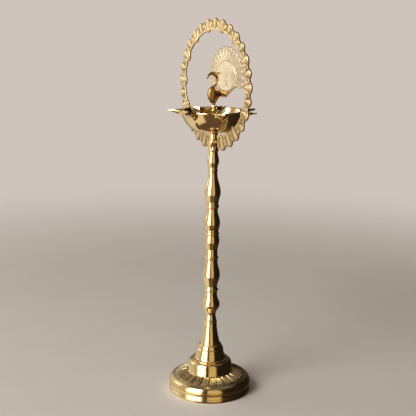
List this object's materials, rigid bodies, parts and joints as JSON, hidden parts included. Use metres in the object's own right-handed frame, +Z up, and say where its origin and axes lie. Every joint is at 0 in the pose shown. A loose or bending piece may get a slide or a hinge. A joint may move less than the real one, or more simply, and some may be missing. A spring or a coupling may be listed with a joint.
{
  "type": "brass standing oil lamp",
  "caption": "Tall turned brass stand with a spouted oil bowl, a peacock finial and an upright halo ring of shell lobes on a hollow round foot.",
  "frame": {"origin": "centre of the foot's underside, on the surface the lamp stands on", "axes": "+Z up along the stem, -Y the way the bird faces, +X to the right along the halo's plane"},
  "size_m": [0.2078, 0.1428, 0.6095],
  "materials": {
    "polished_brass": "mirror polished, lacquered",
    "cast_brass": "pale matte cast relief",
    "bird_brass": "polished cast, darker tone"
  },
  "bodies": {
    "foot": {"base_foot": "polished_brass"},
    "bell": {"bell": "polished_brass"},
    "lower_stem": {"lower_stem": "polished_brass"},
    "upper_stem": {"upper_stem": "polished_brass", "halo_seat": "polished_brass"},
    "halo": {"halo": "cast_brass"},
    "bowl": {"bowl_neck": "polished_brass", "oil_bowl": "polished_brass"},
    "finial": {"finial_foot": "polished_brass", "peacock": "bird_brass", "tail_fan": "cast_brass", "tail_rivet": "polished_brass"}
  },
  "joints": [
    {"name": "bell_lift", "type": "slide", "parent": "foot", "child": "bell", "axis": [0, 0, 1], "range_m": [0, 0.02]},
    {"name": "lower_stem_lift", "type": "slide", "parent": "bell", "child": "lower_stem", "axis": [0, 0, 1], "range_m": [0, 0.02]},
    {"name": "upper_stem_lift", "type": "slide", "parent": "lower_stem", "child": "upper_stem", "axis": [0, 0, 1], "range_m": [0, 0.02]},
    {"name": "halo_swivel", "type": "hinge", "parent": "upper_stem", "child": "halo", "pos_m": [0, 0, 0.4175], "axis": [0, 0, 1], "continuous": true},
    {"name": "bowl_lift", "type": "slide", "parent": "upper_stem", "child": "bowl", "axis": [0, 0, 1], "range_m": [0, 0.02]},
    {"name": "finial_lift", "type": "slide", "parent": "bowl", "child": "finial", "axis": [0, 0, 1], "range_m": [0, 0.02]}
  ]
}
